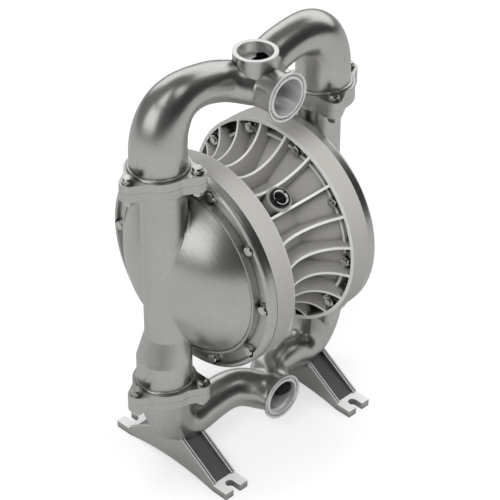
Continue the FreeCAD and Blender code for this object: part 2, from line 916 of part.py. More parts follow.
def chamber_inside(name):
    face = size("ring_outer_x")
    wall = size("chamber_wall")
    radius = size("dome_radius") - wall
    seat = size("bead_outer_radius")
    clamp = size("clamp_radius")
    return turned(
        "hollow_" + name,
        [
            (face - OVERRUN, 0), (face - OVERRUN, seat), (face + bead_seat(), seat),
            (face + bead_seat(), clamp), (face + bead_seat() + wall, radius),
        ]
        + dome_points(wall),
    )


def lobed_plate(name, x, low, high):
    """Collar flange: three rounded lobes round a circle, one lobe pointing outwards."""
    body = new_body(name)
    reach = size("collar_bolt_radius")
    lobe = size("collar_lobe_radius")
    points = []
    count = int(size("collar_bolt_count").number)
    for angle in bolt_angles(count):
        turn = math.radians(angle)
        spread = math.pi / count
        for edge in (turn - spread, turn + spread):
            spot = (
                x + reach * math.cos(turn) + lobe * math.cos(edge),
                reach * math.sin(turn) + lobe * math.sin(edge),
            )
            points.append(spot + (lobe,) if edge < turn else spot)
    sketch = outline(body, name + "_lobes", "XY_Plane", points,
                     Placement(Vector(0, 0, float(low)), Rotation()))
    sketch.setExpression("AttachmentOffset.Base.z", as_size(low).text)
    pad(body, sketch, high - low)
    boss(body, name + "_round", size("collar_hub_radius"), high - low, (x, 0, low))
    return body


def collar_centres(side):
    """Bolt positions of a collar, one of them pointing outwards."""
    reach = size("collar_bolt_radius")
    centres = []
    for angle in bolt_angles(size("collar_bolt_count").number):
        turn = math.radians(angle)
        centres.append(((size("port_x") + reach * math.cos(turn)) * side, reach * math.sin(turn)))
    return centres


def collar_holes(name, low, high, side=RIGHT):
    length = high - low + 2 * OVERRUN
    return [
        cylinder(f"{name}_hole_{number}", size("bolt_hole_radius"), length, (x, y, low - OVERRUN))
        for number, (x, y) in enumerate(collar_centres(side), 1)
    ]


def seat_pocket(name, x, level):
    """Recess for a valve seat and groove for its O-ring, cut from both collars of a joint."""
    half = size("seat_half_thickness")
    recess = cylinder(
        name + "_recess", size("seat_outer_radius") + size("running_clearance"), half * 2,
        (x, 0, level - half),
    )
    groove = bead(
        name + "_groove", size("o_ring_radius"),
        size("o_ring_section") + size("running_clearance"), (x, 0, level),
    )
    return [recess, groove]


def cage_ribs(name, x, low, high):
    """Four upright ribs that guide a ball, and the stops over its lift."""
    ribs = []
    inner = size("ball_radius") + size("seat_clearance") * 2
    outer = size("neck_radius") - size("pipe_wall") / 2
    width = size("cage_rib_thickness")
    for number, angle in enumerate(bolt_angles(4, 45)):
        turn = math.radians(angle)
        along = (math.cos(turn), math.sin(turn))
        corner = (
            x + inner * along[0] + width / 2 * along[1],
            inner * along[1] - width / 2 * along[0],
            low,
        )
        ribs.append(block(
            f"{name}_rib_{number}", outer - inner, width, high - low, corner,
            Rotation(Vector(0, 0, 1), angle),
        ))
    return ribs


def ball_stop(name, x, level):
    """Cross bar over a ball's lift."""
    reach = size("neck_radius") - size("pipe_wall") / 2
    width = size("cage_rib_thickness") * 1.5
    return block(name + "_stop", width, reach * 2, width, (x - width / 2, -reach, level))


def ball_rest(joint):
    """Height of a ball's centre when it rests on its seat."""
    opening = size("seat_bore_radius")
    edge = joint + size("seat_half_thickness") - size("seat_chamfer")
    radius = size("ball_radius")
    lift = Size(
        f"sqrt({radius.text} ^ 2 - {opening.text} ^ 2)",
        math.sqrt(radius.number ** 2 - opening.number ** 2),
    )
    return edge + lift + size("seat_clearance")


def make_liquid_chambers():
    name = "chamber"
    port = size("port_x")
    column = size("column_x")
    neck = size("neck_radius")
    upper = size("upper_joint")
    lower = -size("lower_joint")
    thick = size("collar_thickness")
    bottom = -size("column_bottom")
    taper = [
        ring_section(name + "_taper_top", size("column_radius"), column, bottom),
        ring_section(name + "_taper_foot", neck, port, bottom - neck),
    ]
    swell = doc.addObject("Part::Loft", name + "_swell")
    swell.Sections = taper
    swell.Solid = True
    solid = fuse(name + "_solid", [
        chamber_outside(name),
        cylinder(name + "_column", size("column_radius"), upper - bottom, (column, 0, bottom)),
        swell,
        cylinder(name + "_neck", neck, bottom - neck - lower, (port, 0, lower)),
        lobed_plate(name + "_upper_collar", port, upper - thick, upper),
        lobed_plate(name + "_lower_collar", port, lower, lower + thick),
        bead(name + "_bead", neck, size("neck_bead"), (port, 0, lower + thick)),
    ])
    wall = size("pipe_wall")
    rest = ball_rest(lower)
    top_of_lift = rest + size("ball_radius") + size("ball_lift")
    hollow = fuse(name + "_bores", [
        chamber_inside(name),
        cylinder(name + "_column_bore", size("column_radius") - wall, upper, (column, 0, 0)),
        cylinder(name + "_neck_bore", neck - wall, bottom - neck - lower + OVERRUN,
                 (port, 0, lower - OVERRUN)),
        bore_loft(name, bottom, neck, column, port, wall),
    ])
    ribs = cage_ribs(name, port, lower + size("seat_half_thickness"), bottom - neck)
    stop = ball_stop(name, port, top_of_lift)
    hollowed = cut(name + "_hollowed", solid, [hollow])
    caged = fuse(name + "_caged", [hollowed] + ribs + [stop])
    holes = collar_holes(name + "_upper", upper - thick, upper)
    holes += collar_holes(name + "_lower", lower, lower + thick)
    holes += seat_pocket(name + "_upper", port, upper)
    holes += seat_pocket(name + "_lower", port, lower)
    face = size("ring_outer_x")
    for number, angle in enumerate(bolt_angles(size("chamber_bolt_count").number), 1):
        holes.append(cylinder(
            f"{name}_bolt_hole_{number}", size("bolt_hole_radius"),
            size("flange_thickness") + 2 * OVERRUN,
            around(angle, size("chamber_bolt_radius"), face - OVERRUN), TO_X,
        ))
        holes.append(cylinder(
            f"{name}_spot_face_{number}", size("spot_face_radius"), size("lip_rise") + OVERRUN,
            around(angle, size("chamber_bolt_radius"), face + size("flange_thickness")), TO_X,
        ))
    finish_pair(cut(name + "_drilled", caged, holes), "liquid_chamber")


def bore_loft(name, bottom, neck, column, port, wall):
    swell = doc.addObject("Part::Loft", name + "_swell_bore")
    swell.Sections = [
        ring_section(name + "_bore_top", size("column_radius") - wall, column, bottom + 1),
        ring_section(name + "_bore_foot", neck - wall, port, bottom - neck),
    ]
    swell.Solid = True
    rise = cylinder(
        name + "_rise_bore", size("column_radius") - wall, -bottom, (column, 0, bottom),
    )
    return fuse(name + "_lower_bore", [swell, rise])


def ring_section(name, radius, x, level):
    section = doc.addObject("Part::Circle", name)
    bind(section, "Radius", radius)
    place(section, (x, 0, level))
    return section


# Check valves

def make_check_valve(side, upper):
    name = ("outlet_" if upper else "inlet_") + side_name(side)
    joint = size("upper_joint") if upper else -size("lower_joint")
    port = size("port_x") * side
    half = size("seat_half_thickness")
    hole = size("seat_bore_radius")
    outer = size("seat_outer_radius")
    chamfer = size("seat_chamfer")
    seat = turned(
        "seat_" + name,
        [
            (hole, -half), (outer, -half), (outer, half), (hole + chamfer, half),
            (hole, half - chamfer),
        ],
        "V_Axis",
    )
    finish(seat, "valve_seat_" + name)
    place(seat, (port, 0, joint + size("axis_height")))
    ball = doc.addObject("Part::Sphere", "ball_" + name)
    bind(ball, "Radius", size("ball_radius"))
    ball.Label = "check_ball_" + name
    place(ball, (port, 0, ball_rest(joint) + size("axis_height")))
    NODES.append(ball)


# Manifolds

def arm(name, start, course, inset):
    """Round arm that leads from its collar through the stations of a course.

    The sections' seam is carried along without twisting; an inset gives the way through.
    """
    stations = [start] + course
    spots = [Vector(*[float(part) for part in station[:3]]) for station in stations]
    radii = [float(station[3]) for station in stations]
    curve = Part.BSplineCurve()
    upright = Vector(0, 0, 1 if spots[1].z > spots[0].z else -1)
    curve.interpolate(Points=spots, InitialTangent=upright, FinalTangent=Vector(*ARM_END))
    sections = []
    across = Vector(0, 1, 0)
    for number, (spot, radius) in enumerate(zip(spots, radii)):
        tangent = curve.tangent(curve.parameter(spot))[0]
        across = (across - tangent * across.dot(tangent)).normalize()
        section = doc.addObject("Part::Circle", f"{name}_{number}")
        bind(section, "Radius", radius - inset)
        turn = Rotation(across, tangent.cross(across), tangent, "ZXY")
        section.Placement = Placement(spot, turn)
        sections.append(section)
    loft = doc.addObject("Part::Loft", name)
    loft.Sections = sections
    loft.Solid = True
    return loft


def way_start(port, level):
    """Start of a way through an arm, where the wall is as thick as the neck's."""
    return port, 0, level, size("neck_radius") - size("pipe_wall") + size("arm_wall")


FORWARD = Rotation(Vector(1, 0, 0), 90)
ARM_END = (-0.3, -1, -0.04)


def port_ferrule(name, level, reach):
    """Hygienic clamp ferrule that faces the front, as a turned ring."""
    bore_radius = size("port_bore_radius")
    rim = size("ferrule_radius")
    body = turned(
        name,
        [
            (bore_radius - 1, 0), (rim, 0), (rim, size("ferrule_thickness")),
            (bore_radius + 3, size("ferrule_thickness") + size("ferrule_cone")),
            (bore_radius - 1, size("ferrule_thickness") + size("ferrule_cone")),
        ],
        "V_Axis",
    )
    place(body, (0, -reach, level), Rotation(Vector(1, 0, 0), -90))
    return body


def make_discharge_manifold():
    joint = size("upper_joint")
    thick = size("collar_thickness")
    neck = size("neck_radius")
    port = size("port_x")
    level = size("discharge_height")
    reach = size("discharge_reach")
    radius = size("port_tube_radius")
    inner = size("port_bore_radius")
    boss_y = size("gauge_boss_y")
    boss_top = size("gauge_boss_top")
    pipe = fuse("discharge_pipe", [
        arm("discharge_arm", (port, 0, joint, neck), DISCHARGE_COURSE, 0),
        lobed_plate("discharge_collar", port, joint, joint + thick),
        bead("discharge_bead", neck, size("neck_bead"), (port, 0, joint + thick)),
    ])
    solid = fuse("discharge_solid", [
        both_halves("discharge_pipes", pipe),
        cylinder("discharge_tube", radius, reach - 1, (0, 0, level), FORWARD),
        port_ferrule("discharge_ferrule", level, reach),
        cylinder("gauge_boss", size("gauge_boss_radius"), boss_top - level, (0, -boss_y, level)),
    ])
    way = arm("discharge_way", way_start(port, joint - OVERRUN), DISCHARGE_COURSE, size("arm_wall"))
    hollows = [
        both_halves("discharge_ways", way),
        cylinder("discharge_bore", inner, reach - boss_y + OVERRUN, (0, -boss_y, level), FORWARD),
        bead("discharge_gasket_groove", size("gasket_groove_radius"),
             size("gasket_groove_section"), (0, -reach, level), FORWARD),
        cylinder("gauge_mouth", size("gauge_bore_radius"), size("gauge_bore_depth") + OVERRUN,
                 (0, -boss_y, boss_top - size("gauge_bore_depth"))),
        cylinder("gauge_way", size("gauge_hole_radius"), boss_top - level, (0, -boss_y, level)),
    ]
    extras = []
    holes = []
    for side in (LEFT, RIGHT):
        name = "discharge_" + side_name(side)
        top_of_lift = ball_rest(joint) + size("ball_radius") + size("ball_lift")
        extras += cage_ribs(name, port * side, joint + size("seat_half_thickness"), top_of_lift)
        extras.append(ball_stop(name, port * side, top_of_lift))
        holes += collar_holes(name, joint, joint + thick, side)
        holes += seat_pocket(name, port * side, joint)
    finish_manifold("discharge_manifold", solid, hollows, extras, holes)


def finish_manifold(name, solid, hollows, extras, holes):
    piped = solid
    for number, hollow in enumerate(hollows, 1):
        piped = cut(f"{name}_piped_{number}", piped, [hollow])
    if extras:
        piped = fuse(name + "_caged", [piped] + extras)
    finish(cut(name, piped, holes), name)


def make_inlet_manifold():
    joint = -size("lower_joint")
    thick = size("collar_thickness")
    neck = size("neck_radius")
    port = size("port_x")
    level = -size("inlet_port_drop")
    reach = size("inlet_reach")
    inner = size("port_bore_radius")
    mouth = size("inlet_mouth_depth")
    arm_outside = arm("inlet_arm", (port, 0, joint, neck), INLET_COURSE, 0)
    pipe = fuse("inlet_pipe", [
        arm_outside,
        lobed_plate("inlet_collar", port, joint - thick, joint),
    ])
    solid = fuse("inlet_solid", [
        both_halves("inlet_pipes", pipe),
        cylinder("inlet_tube", size("port_tube_radius"), reach / 3, (0, -reach * 2 / 3, level), FORWARD),
        port_ferrule("inlet_ferrule", level, reach),
    ])
    hollows = [
        both_halves("inlet_ways", arm(
            "inlet_way", way_start(port, joint + OVERRUN), INLET_COURSE, size("arm_wall"),
        )),
        cylinder("inlet_bore", inner, mouth + OVERRUN, (0, mouth - reach, level), FORWARD),
        cylinder("inlet_front", size("ferrule_radius") + OVERRUN, reach / 3, (0, -reach, level), FORWARD),
        bead("inlet_gasket_groove", size("gasket_groove_radius"),
             size("gasket_groove_section"), (0, -reach, level), FORWARD),
    ]
    holes = []
    for side in (LEFT, RIGHT):
        name = "inlet_" + side_name(side)
        holes += collar_holes(name, joint - thick, joint, side)
        holes += seat_pocket(name, port * side, joint)
    finish_manifold("inlet_manifold", solid, hollows, [], holes)
    make_feet(arm_outside)


# Feet

def foot_side_points():
    floor = -size("axis_height")
    tip = size("foot_reach")
    heel = tip - size("pad_length")
    pad_top = floor + size("pad_thickness")
    toe = floor + size("leg_toe_height")
    knee_y = size("leg_top_y")
    knee = floor + size("leg_top_height")
    return floor, tip, heel, pad_top, toe, knee_y, knee


def make_feet(elbow):
    """The right foot is fitted to the inlet elbow and mirrored for the left one."""
    name = "foot_blank"
    floor, tip, heel, pad_top, toe, knee_y, knee = foot_side_points()
    arch = floor + size("arch_height")
    body = new_body(name)
    half = heel - 1
    rise = size("arch_height")
    arch_radius = (half * half + rise * rise) / (rise * 2)
    side_view = outline(
        body, name + "_side", "YZ_Plane",
        [
            (-tip, floor), (-heel + 1, floor, -arch_radius), (heel - 1, floor), (tip, floor),
            (tip, pad_top), (heel, pad_top), (heel, toe), (knee_y, knee), (-knee_y, knee),
            (-heel, toe), (-heel, pad_top), (-tip, pad_top),
        ],
    )
    pad(body, side_view, size("foot_width"), middle=True)
    width = size("foot_width") - size("leg_wall") * 2
    depth = size("channel_depth")
    channel = outline(
        body, name + "_channel", "YZ_Plane",
        [
            (-heel, toe + OVERRUN), (-heel, pad_top), (-heel + 2, pad_top), (-knee_y, knee - depth),
            (knee_y, knee - depth), (heel - 2, pad_top), (heel, pad_top), (heel, toe + OVERRUN),
            (knee_y, knee + OVERRUN), (-knee_y, knee + OVERRUN),
        ],
    )
    pocket(body, channel, width)
    below = depth + size("leg_floor")
    hollow = outline(
        body, name + "_hollow", "YZ_Plane",
        [
            (-heel + 8, floor - OVERRUN), (heel - 8, floor - OVERRUN),
            (heel - 16, pad_top - size("leg_floor")),
            (knee_y, knee - below), (-knee_y, knee - below),
            (-heel + 16, pad_top - size("leg_floor")),
        ],
    )
    pocket(body, hollow, width)
    half_slot = size("slot_width") / 2
    slot_end = tip - size("slot_depth") + half_slot
    high = size("pad_thickness") + 2 * OVERRUN
    for end, label in ((1, "back"), (-1, "front")):
        bore(body, f"{name}_slot_end_{label}", half_slot, high, (0, slot_end * end, floor - OVERRUN))
        open_end = slot_end if end == 1 else -tip - OVERRUN
        slot = body.newObject("PartDesign::SubtractiveBox", f"{name}_slot_{label}")
        bind(slot, "Length", size("slot_width"))
        bind(slot, "Width", tip + OVERRUN - slot_end)
        bind(slot, "Height", high)
        place(slot, (-half_slot, open_end, floor - OVERRUN))
    place(body, (size("foot_x"), 0, 0))
    finish_pair(cut("foot_fitted", body, [elbow]), "foot")


def pocket(body, sketch, length):
    """Cut equally to both sides of the sketch's plane."""
    feature = body.newObject("PartDesign::Pocket", sketch.Name + "_cut")
    feature.Profile = sketch
    bind(feature, "Length", length)
    feature.SideType = "Symmetric"
    return feature


# Fasteners and rings, made once and repeated

def hexagon(flats, height):
    reach = flats / 2 / math.cos(math.pi / 6)
    corners = [
        Vector(reach * math.cos(math.radians(60 * step)), reach * math.sin(math.radians(60 * step)), 0)
        for step in range(7)
    ]
    return Part.Face(Part.makePolygon(corners)).extrude(Vector(0, 0, height))


def screw_shape(grip):
    """Hexagon screw standing on z = 0, with its shank reaching down through the grip."""
    head = hexagon(float(size("bolt_head_flats")), float(size("bolt_head_height")))
    top = float(size("bolt_head_height"))
    wide = float(size("bolt_head_flats"))
    dome = Part.makeCone(wide * 0.62, wide * 0.44, top, Vector(0, 0, 0))
    head = head.common(dome)
    length = grip + float(size("thread_end"))
    shank = Part.makeCylinder(float(size("bolt_radius")), length, Vector(0, 0, -length))
    return head.fuse(shank).removeSplitter()


def nut_shape():
    """Hexagon nut hanging down from z = 0."""
    height = float(size("nut_height"))
    nut = hexagon(float(size("bolt_head_flats")), -height)
    return nut.cut(Part.makeCylinder(thread_bore(), height, Vector(0, 0, -height)))


def thread_bore():
    return float(size("bolt_radius") + size("running_clearance"))


def washer_shape():
    """Plain washer standing on z = 0."""
    thick = float(size("washer_thickness"))
    disc = Part.makeCylinder(float(size("washer_radius")), thick)
    return disc.cut(Part.makeCylinder(thread_bore(), thick))


def group(label, shape, spots):
    """Copies of one shape as separate solids in a single node."""
    copies = []
    for spot in spots:
        copy = shape.copy()
        copy.Placement = spot
        copies.append(copy)
    thing = doc.addObject("Part::Feature", label)
    thing.Shape = Part.makeCompound(copies)
    finish(thing, label)


def collar_spots(level):
    centres = collar_centres(LEFT) + collar_centres(RIGHT)
    return [Placement(Vector(float(x), float(y), level), Rotation()) for x, y in centres]


def make_collar_fasteners(label, joint):
    thick = float(size("collar_thickness"))
    washer = float(size("washer_thickness"))
    top = joint + thick
    bottom = joint - thick
    grip = thick * 2 + washer * 2 + float(size("nut_height"))
    group(label + "_screws", screw_shape(grip), collar_spots(top + washer))
    group(label + "_nuts", nut_shape(), collar_spots(bottom - washer))
    group(label + "_washers", washer_shape(), collar_spots(top) + collar_spots(bottom - washer))


def chamber_spots(x, side):
    outward = Rotation(Vector(0, 1, 0), 90 * side)
    spots = []
    for angle in bolt_angles(size("chamber_bolt_count").number):
        spot = around(angle, float(size("chamber_bolt_radius")), x * side)
        spots.append(Placement(Vector(*spot), outward))
    return spots


def make_chamber_fasteners(side):
    name = side_name(side)
    washer = float(size("washer_thickness"))
    outer = float(size("ring_outer_x") + size("flange_thickness"))
    inner = float(pocket_floor() - size("bolt_boss_height"))
    grip = outer - inner + washer * 2 + float(size("nut_height"))
    group("chamber_screws_" + name, screw_shape(grip), chamber_spots(outer + washer, side))
    group("chamber_nuts_" + name, nut_shape(), chamber_spots(inner - washer, side))
    spots = chamber_spots(outer, side) + chamber_spots(inner - washer, side)
    group("chamber_washers_" + name, washer_shape(), spots)


def make_collar_o_rings():
    ring = Part.makeTorus(float(size("o_ring_radius")), float(size("o_ring_section")))
    port = float(size("port_x"))
    levels = (float(size("upper_joint")), -float(size("lower_joint")))
    spots = [Placement(Vector(side * port, 0, level), Rotation())
             for side in (LEFT, RIGHT) for level in levels]
    group("collar_o_rings", ring, spots)


# Build everything

make_centre_block()
make_air_valve()
make_pilot()
make_silencer()
make_shaft()
for hand in (LEFT, RIGHT):
    make_shaft_bearings(hand)
    make_plates(hand)
    make_diaphragm(hand)
    make_chamber_fasteners(hand)
    for is_upper in (True, False):
        make_check_valve(hand, is_upper)
make_liquid_chambers()
make_discharge_manifold()
make_inlet_manifold()
make_collar_fasteners("upper_collar", float(size("upper_joint")))
make_collar_fasteners("lower_collar", -float(size("lower_joint")))
make_collar_o_rings()
doc.recompute()

faults = []
for thing in doc.Objects:
    if "Invalid" in thing.State or "Error" in thing.State:
        faults.append(f"{thing.Name} {thing.State}")
for node in NODES:
    if node.Shape.isNull() or not node.Shape.isValid():
        faults.append(f"{node.Label} has no valid shape")
if faults:
    raise RuntimeError("; ".join(faults))
for node in NODES:
    node.Shape.exportStep(f"parts/{node.Label}.step")
    print(node.Label, len(node.Shape.Solids), round(node.Shape.Volume))
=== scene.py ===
import json
import math

import bmesh
import bpy
import numpy as np
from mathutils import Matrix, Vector


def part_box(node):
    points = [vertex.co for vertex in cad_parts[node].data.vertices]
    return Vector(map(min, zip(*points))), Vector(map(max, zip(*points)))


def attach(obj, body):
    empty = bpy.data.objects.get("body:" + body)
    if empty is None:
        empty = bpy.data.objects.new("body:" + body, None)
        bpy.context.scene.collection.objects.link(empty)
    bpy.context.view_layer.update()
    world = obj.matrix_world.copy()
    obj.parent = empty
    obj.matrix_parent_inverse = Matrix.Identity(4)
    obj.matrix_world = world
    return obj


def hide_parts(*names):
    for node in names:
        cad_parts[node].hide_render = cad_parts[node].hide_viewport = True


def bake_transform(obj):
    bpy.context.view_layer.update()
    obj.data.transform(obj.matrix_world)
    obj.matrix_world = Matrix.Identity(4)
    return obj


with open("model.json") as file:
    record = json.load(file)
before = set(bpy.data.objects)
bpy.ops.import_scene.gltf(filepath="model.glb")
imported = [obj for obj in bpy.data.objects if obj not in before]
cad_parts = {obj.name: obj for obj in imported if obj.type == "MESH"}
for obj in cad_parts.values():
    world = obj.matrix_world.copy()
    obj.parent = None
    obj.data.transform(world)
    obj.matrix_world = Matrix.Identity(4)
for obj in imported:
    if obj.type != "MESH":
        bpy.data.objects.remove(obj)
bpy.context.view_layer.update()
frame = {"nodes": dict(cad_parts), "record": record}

# Air operated diaphragm pump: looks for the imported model.
# X runs along the diaphragm shaft, -Y is the side that the ports face, +Z is up, in metres.

nodes = frame["nodes"]
scene = bpy.context.scene
MM = 0.001
X_AXIS = (1, 0, 0)
Y_AXIS = (0, 1, 0)
Z_AXIS = (0, 0, 1)
WHITE = (1, 1, 1, 1)

# Main places. The shaft's axis runs half a millimetre above the middle of a chamber
chamber_low, chamber_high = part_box("liquid_chamber_right")
AXIS_RISE = 0.5 * MM
AXIS_HEIGHT = (chamber_low.z + chamber_high.z) / 2 + AXIS_RISE
SHAFT_CENTRE = (0, 0, AXIS_HEIGHT)
UPPER_JOINT = AXIS_HEIGHT + 160.5 * MM
LOWER_JOINT = AXIS_HEIGHT - 161.5 * MM
COLUMN_X = 136 * MM

# Ports: their mouths, and how wide and how deep the painted light in their bores reaches
DISCHARGE_PORT = (0, -76.2 * MM, AXIS_HEIGHT + 238.5 * MM)
INLET_PORT = (0, -73.5 * MM, AXIS_HEIGHT - 225 * MM)
TOP_PORT = (0, -21.3 * MM, AXIS_HEIGHT + 281 * MM)
DOWNWARDS = (0, 0, -1)
FRONT_BORE_RADIUS = 24.6 * MM
FRONT_BORE_DEPTH = 90 * MM
TOP_BORE_RADIUS = 23.4 * MM
TOP_BORE_DEPTH = 95 * MM
RIM_DEPTH = 1 * MM
RIM_RADIUS = 34 * MM

# Centre section: end rings, fins, pockets and the boss of the air valve
RING_INNER_X = 53 * MM
RING_INNER_RADIUS = 138.2 * MM
FIN_WAIST_RADIUS = 105 * MM
FIN_EDGE_ARC = 58 * MM
STRIP_CREST_X = 60 * MM
STRIP_RADIUS = 119.5 * MM
STRIP_OUTSIDE = 123.5 * MM
OUTSIDE_CELLS = 122 * MM
OUTSIDE_POCKETS = 130 * MM
BOSS_RADIUS = 17 * MM
PLUG_ANGLE = math.radians(54)
PLUG_AXIS = (0, -math.cos(PLUG_ANGLE), math.sin(PLUG_ANGLE))
PLUG_RECESS = 9.5 * MM

# Feet: pads, dark channels and the tops of the walls beside them
FOOT_X = 118 * MM
PAD_START = 77.5 * MM
PAD_TOP = 10 * MM
CHANNEL_HALF = 13.5 * MM
WALL_GROOVE = 3 * MM


# Materials

class Field:
    """A value that changes over a surface. Arithmetic on it adds Math nodes."""

    def __init__(self, shading, socket):
        self.shading = shading
        self.socket = socket

    def __add__(self, other):
        return self.shading.maths("ADD", self, other)

    def __sub__(self, other):
        return self.shading.maths("SUBTRACT", self, other)

    def __mul__(self, other):
        return self.shading.maths("MULTIPLY", self, other)

    def __rsub__(self, other):
        return self.shading.maths("SUBTRACT", other, self)

    __radd__ = __add__
    __rmul__ = __mul__


class Shading:
    """The nodes of one material, or of the world."""

    def __init__(self, tree):
        self.tree = tree
        self.tree.nodes.clear()

    def node(self, kind, settings=None, sockets=None):
        """Add a node: its settings first, then the values or links of its sockets."""
        made = self.tree.nodes.new(kind)
        for name, value in (settings or {}).items():
            setattr(made, name, value)
        for name, value in (sockets or {}).items():
            if isinstance(value, Field):
                self.tree.links.new(value.socket, made.inputs[name])
            else:
                made.inputs[name].default_value = value
        return made

    def field(self, kind, output, settings=None, sockets=None):
        """Add a node and take one of its outputs."""
        return Field(self, self.node(kind, settings, sockets).outputs[output])

    def maths(self, operation, first, second=0, clamp=False):
        settings = {"operation": operation, "use_clamp": clamp}
        return self.field("ShaderNodeMath", "Value", settings, {0: first, 1: second})

    def clamp(self, value):
        return self.maths("MULTIPLY", value, 1, clamp=True)

    def vector(self, operation, first, second=(0, 0, 0)):
        output = "Value" if operation in ("DOT_PRODUCT", "LENGTH") else "Vector"
        settings = {"operation": operation}
        return self.field("ShaderNodeVectorMath", output, settings, {0: first, 1: second})

    def mix(self, factor, first, second):
        """Blend two colours, each a field or three numbers."""
        sockets = {0: factor}
        for index, colour in ((6, first), (7, second)):
            sockets[index] = colour if isinstance(colour, Field) else (*colour, 1)
        return self.field("ShaderNodeMix", 2, {"data_type": "RGBA"}, sockets)

    def spread(self, value, low, high, to_low, to_high):
        """Stretch a value from one span to another, held at the ends."""
        sockets = {
            "Value": value, "From Min": low, "From Max": high,
            "To Min": to_low, "To Max": to_high,
        }
        return self.field("ShaderNodeMapRange", "Result", {"clamp": True}, sockets)

    def over(self, value, start, soft):
        """Nought up to a value, and one from a soft step beyond it."""
        return self.spread(value, start, start + soft, 0, 1)

    def under(self, value, end, soft):
        """One up to a value, and nought from a soft step beyond it."""
        return self.spread(value, end, end + soft, 1, 0)

    def within(self, value, low, high, soft):
        """One between two values and nought outside them."""
        return self.over(value, low, soft) * self.under(value, high - soft, soft)

    def rays(self):
        """Whether the camera, gloss or glass sees a point, each nought or one."""
        path = self.node("ShaderNodeLightPath")
        names = ("Is Camera Ray", "Is Glossy Ray", "Is Transmission Ray")
        return [Field(self, path.outputs[name]) for name in names]


class Finish(Shading):
    """One material."""

    def __init__(self, name):
        self.material = bpy.data.materials.new(name)
        self.material.use_nodes = True
        super().__init__(self.material.node_tree)
        self.place = self.field("ShaderNodeTexCoord", "Object")

    def along(self, axis):
        """How far along an axis a point is."""
        return self.vector("DOT_PRODUCT", self.place, axis)

    def from_middle(self, axis):
        """Distance from the pump's middle along an axis, the same on both sides."""
        return self.maths("ABSOLUTE", self.along(axis))

    def along_line(self, start, axis):
        """How far a point is from the start of a line, along that line."""
        return self.vector("DOT_PRODUCT", self.vector("SUBTRACT", self.place, start), axis)

    def from_line(self, start, axis):
        """How far a point is from a line, square to that line."""
        offset = self.vector("SUBTRACT", self.place, start)
        return self.vector("LENGTH", self.vector("CROSS_PRODUCT", offset, axis))

    def noise(self, scale, detail, roughness=0.5, stretch=None):
        place = self.vector("MULTIPLY", self.place, stretch) if stretch else self.place
        sockets = {"Vector": place, "Scale": scale, "Detail": detail, "Roughness": roughness}
        return self.field("ShaderNodeTexNoise", "Fac", None, sockets)

    def crease(self, distance):
        """One in the open and near zero in a crease."""
        return self.field("ShaderNodeAmbientOcclusion", "AO", {"samples": 6}, {"Distance": distance})

    def rounded(self, radius):
        """A normal that rolls over the edges, and how sharp the edge is there."""
        soft = self.field("ShaderNodeBevel", "Normal", {"samples": 4}, {"Radius": radius})
        plain = self.field("ShaderNodeNewGeometry", "Normal")
        return soft, 1 - self.vector("DOT_PRODUCT", soft, plain)

    def painted_edge_highlight(self, colour, edge, bright, amount, full=0.3):
        """A colour with a painted highlight along the edges."""
        return self.mix(self.spread(edge, 0.02, full, 0, amount), colour, bright)

    def bump(self, height, depth, normal, strength):
        sockets = {"Height": height, "Distance": depth, "Strength": strength}
        if normal is not None:
            sockets["Normal"] = normal
        return self.field("ShaderNodeBump", "Normal", None, sockets)

    def glow(self, colour):
        return self.field("ShaderNodeEmission", "Emission", None, {"Color": colour, "Strength": 1})

    def end(self, shader):
        self.node("ShaderNodeOutputMaterial", None, {"Surface": shader})
        return self.material

    def close(self, colour, roughness, normal, metallic=0):
        sockets = {
            "Base Color": colour, "Metallic": metallic,
            "Roughness": roughness, "Normal": normal,
        }
        return self.end(self.field("ShaderNodeBsdfPrincipled", "BSDF", None, sockets))


def inside_port(finish, port, axis, radius, depth):
    """One on the bored wall of a port and on its rim, nought elsewhere."""
    from_axis = finish.from_line(port, axis)
    inwards = finish.along_line(port, axis)
    wall = finish.under(from_axis, radius, 0.6 * MM) * finish.under(inwards, depth, 4 * MM)
    rim = finish.under(inwards, RIM_DEPTH, 0.4 * MM) * finish.under(from_axis, RIM_RADIUS, 1 * MM)
    return finish.clamp(wall + rim)


def sand_cast(name):
    """Start of a bead blasted casting: its finish, colour, roughness and normal."""
    finish = Finish(name)
    soft, edge = finish.rounded(0.8 * MM)
    open_air = finish.crease(12 * MM)
    contact = finish.crease(2.5 * MM)
    clouds = finish.noise(14, 4)
    speckle = finish.noise(480, 2, 0.8)
    grain = finish.noise(1500, 2, 0.7)
    shade = finish.spread(clouds, 0.3, 0.7, 0, 1)
    # Painted shade: occlusion darkens the colour in creases and where parts touch.
    painted_crease_shade = finish.spread(open_air, 0.2, 0.8, 0.7, 0) + finish.spread(contact, 0.35, 0.8, 0.8, 0)
    colour = finish.mix(shade, (0.70, 0.695, 0.67), (0.78, 0.775, 0.75))
    colour = finish.mix(finish.spread(speckle, 0.30, 0.62, 0.5, 0), colour, (0.54, 0.535, 0.515))
    # Painted highlight along the edges, then the painted shade in the creases.
    colour = finish.painted_edge_highlight(colour, edge, (0.86, 0.855, 0.84), 0.6)
    colour = finish.mix(finish.clamp(painted_crease_shade), colour, (0.05, 0.048, 0.045))
    rough = 0.22 + 0.06 * clouds + 0.08 * grain - finish.spread(edge, 0.02, 0.3, 0, 0.08)
    return finish, colour, rough, finish.bump(grain * 0.4 + speckle, 0.05 * MM, soft, 0.4)


